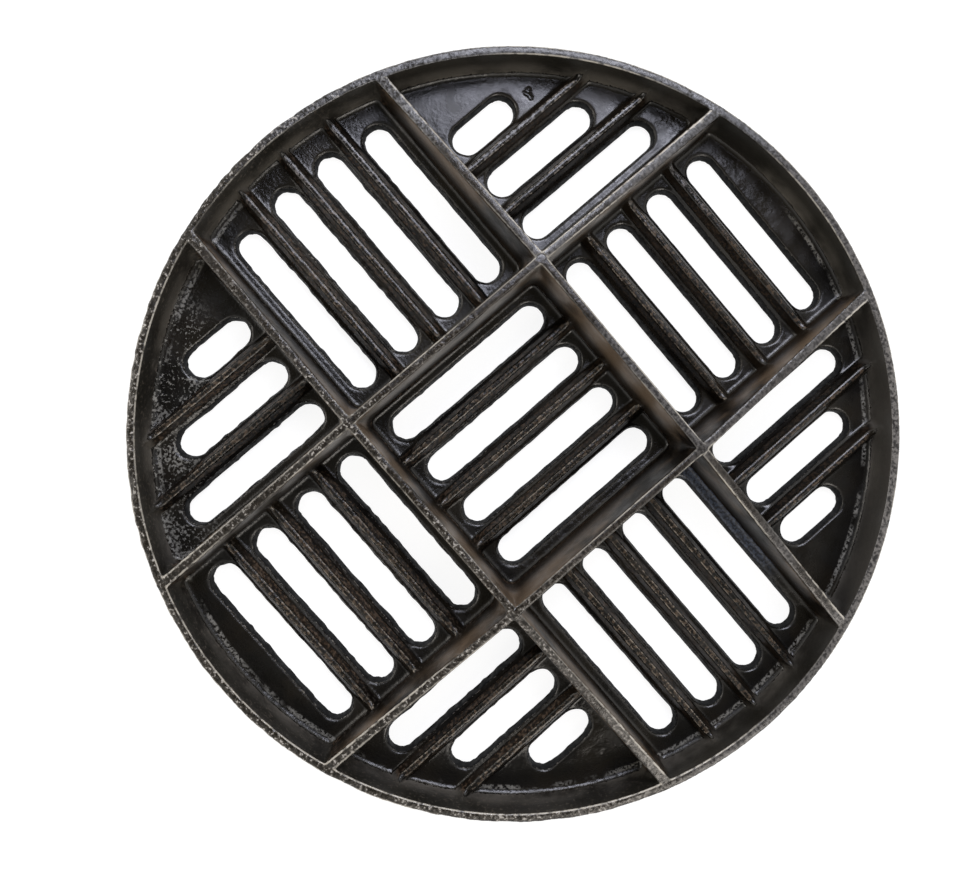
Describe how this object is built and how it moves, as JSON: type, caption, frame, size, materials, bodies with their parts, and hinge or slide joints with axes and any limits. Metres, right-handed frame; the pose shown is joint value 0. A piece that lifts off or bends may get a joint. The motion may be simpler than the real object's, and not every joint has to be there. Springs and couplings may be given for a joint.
{
  "type": "drain grate",
  "caption": "Round cast drain grate: a slotted plate with a deep rim and stiffening ribs across its underside, shown with the ribs upwards.",
  "frame": {"origin": "centre of the flat walking face", "axes": "+Z out of the ribbed underside, away from the walking face, which is down; X and Y along the two pairs of main ribs, with the slots of the centre cell along Y"},
  "size_m": [0.3, 0.3, 0.034],
  "materials": {
    "iron": "glossy black bitumen dip over a sand-cast skin"
  },
  "bodies": {
    "root": {"grate": "iron"}
  },
  "joints": []
}
